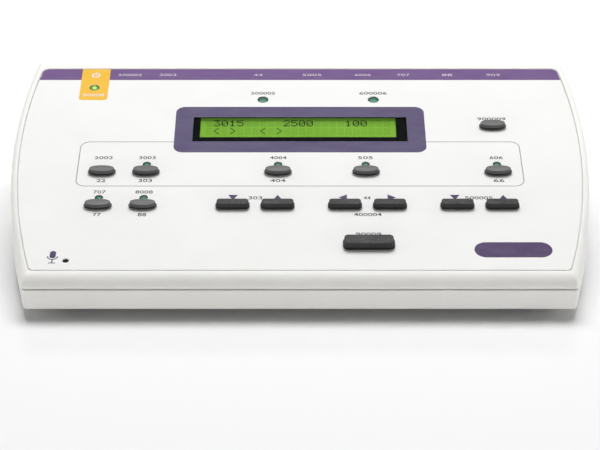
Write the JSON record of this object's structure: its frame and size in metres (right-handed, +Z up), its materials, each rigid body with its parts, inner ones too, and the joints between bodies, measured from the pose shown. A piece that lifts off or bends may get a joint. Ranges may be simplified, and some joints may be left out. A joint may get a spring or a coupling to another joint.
{
  "type": "diagnostic audiometer",
  "caption": "Low wedge-shaped desktop hearing tester with a sloping key panel, a character display, pressable keys, indicator lamps and rear jack sockets.",
  "frame": {"origin": "middle of the table area under the case, where the rubber feet stand", "axes": "+X towards the operator's right, +Y towards the rear connectors (the front edge faces -Y), +Z up"},
  "size_m": [0.271, 0.165, 0.0594],
  "materials": {
    "case_plastic": "fine-textured off-white moulded plastic",
    "printed_sheet": "satin white printed polycarbonate sheet",
    "clear_window": "clear polished plastic",
    "black_steel": "black painted steel frame",
    "display_glass": "yellow-green reflective liquid crystal glass",
    "light_guide": "milky diffusing plastic",
    "circuit_board": "green solder mask on glass-fibre board",
    "black_plastic": "black moulded plastic",
    "flat_cable": "ribbed grey flat cable",
    "nickel": "nickel-plated metal",
    "key_grey": "satin mid-grey moulded plastic",
    "key_dark": "satin dark grey moulded plastic",
    "lamp_lens": "green tinted clear plastic lens",
    "foot_rubber": "matt black rubber"
  },
  "bodies": {
    "case": {"top_shell": "case_plastic", "bottom_shell": "case_plastic", "rear_panel": "case_plastic", "panel_overlay": "printed_sheet", "display_window": "clear_window", "lcd_bezel": "black_steel", "lcd_glass": "display_glass", "lcd_backlight": "light_guide", "lcd_board": "circuit_board", "lcd_header": "black_plastic", "key_board": "circuit_board", "main_board": "circuit_board", "ribbon_cable": "flat_cable", "microphone": "nickel", "lamp_pulse": "lamp_lens", "lamp_mask": "lamp_lens", "lamp_boost": "lamp_lens", "lamp_bone": "lamp_lens", "lamp_left": "lamp_lens", "lamp_right": "lamp_lens", "lamp_present": "lamp_lens", "lamp_response": "lamp_lens", "lamp_power": "lamp_lens", "response_jack": "black_plastic", "insert_jack": "black_plastic", "bone_jack": "black_plastic", "left_jack": "black_plastic", "right_jack": "black_plastic", "response_jack_nut": "nickel", "insert_jack_nut": "nickel", "bone_jack_nut": "nickel", "left_jack_nut": "nickel", "right_jack_nut": "nickel", "usb_socket": "nickel", "power_inlet": "black_plastic", "printer_socket": "black_plastic", "foot_front_left": "foot_rubber", "foot_front_right": "foot_rubber", "foot_rear_left": "foot_rubber", "foot_rear_right": "foot_rubber", "case_screw_front_left": "nickel", "case_screw_front_right": "nickel", "case_screw_rear_left": "nickel", "case_screw_rear_right": "nickel"},
    "menu_key": {"key_menu": "key_grey"},
    "pulse_key": {"key_pulse": "key_grey"},
    "mask_key": {"key_mask": "key_grey"},
    "boost_key": {"key_boost": "key_grey"},
    "bone_key": {"key_bone": "key_grey"},
    "left_key": {"key_left": "key_grey"},
    "right_key": {"key_right": "key_grey"},
    "talk_key": {"key_talk": "key_grey"},
    "level_down_key": {"key_level_down": "key_dark"},
    "level_up_key": {"key_level_up": "key_dark"},
    "tone_down_key": {"key_tone_down": "key_dark"},
    "tone_up_key": {"key_tone_up": "key_dark"},
    "noise_down_key": {"key_noise_down": "key_dark"},
    "noise_up_key": {"key_noise_up": "key_dark"},
    "present_key": {"key_present": "key_dark"}
  },
  "joints": [
    {"name": "menu_press", "type": "slide", "parent": "case", "child": "menu_key", "axis": [0, 0.2419, -0.9703], "range_m": [0, 0.0005], "stiffness_N_per_m": 2000},
    {"name": "pulse_press", "type": "slide", "parent": "case", "child": "pulse_key", "axis": [0, 0.2419, -0.9703], "range_m": [0, 0.0005], "stiffness_N_per_m": 2000},
    {"name": "mask_press", "type": "slide", "parent": "case", "child": "mask_key", "axis": [0, 0.2419, -0.9703], "range_m": [0, 0.0005], "stiffness_N_per_m": 2000},
    {"name": "boost_press", "type": "slide", "parent": "case", "child": "boost_key", "axis": [0, 0.2419, -0.9703], "range_m": [0, 0.0005], "stiffness_N_per_m": 2000},
    {"name": "bone_press", "type": "slide", "parent": "case", "child": "bone_key", "axis": [0, 0.2419, -0.9703], "range_m": [0, 0.0005], "stiffness_N_per_m": 2000},
    {"name": "left_press", "type": "slide", "parent": "case", "child": "left_key", "axis": [0, 0.2419, -0.9703], "range_m": [0, 0.0005], "stiffness_N_per_m": 2000},
    {"name": "right_press", "type": "slide", "parent": "case", "child": "right_key", "axis": [0, 0.2419, -0.9703], "range_m": [0, 0.0005], "stiffness_N_per_m": 2000},
    {"name": "talk_press", "type": "slide", "parent": "case", "child": "talk_key", "axis": [0, 0.2419, -0.9703], "range_m": [0, 0.0005], "stiffness_N_per_m": 2000},
    {"name": "level_down_press", "type": "slide", "parent": "case", "child": "level_down_key", "axis": [0, 0.2419, -0.9703], "range_m": [0, 0.0005], "stiffness_N_per_m": 2000},
    {"name": "level_up_press", "type": "slide", "parent": "case", "child": "level_up_key", "axis": [0, 0.2419, -0.9703], "range_m": [0, 0.0005], "stiffness_N_per_m": 2000},
    {"name": "tone_down_press", "type": "slide", "parent": "case", "child": "tone_down_key", "axis": [0, 0.2419, -0.9703], "range_m": [0, 0.0005], "stiffness_N_per_m": 2000},
    {"name": "tone_up_press", "type": "slide", "parent": "case", "child": "tone_up_key", "axis": [0, 0.2419, -0.9703], "range_m": [0, 0.0005], "stiffness_N_per_m": 2000},
    {"name": "noise_down_press", "type": "slide", "parent": "case", "child": "noise_down_key", "axis": [0, 0.2419, -0.9703], "range_m": [0, 0.0005], "stiffness_N_per_m": 2000},
    {"name": "noise_up_press", "type": "slide", "parent": "case", "child": "noise_up_key", "axis": [0, 0.2419, -0.9703], "range_m": [0, 0.0005], "stiffness_N_per_m": 2000},
    {"name": "present_press", "type": "slide", "parent": "case", "child": "present_key", "axis": [0, 0.2419, -0.9703], "range_m": [0, 0.0005], "stiffness_N_per_m": 2000}
  ]
}
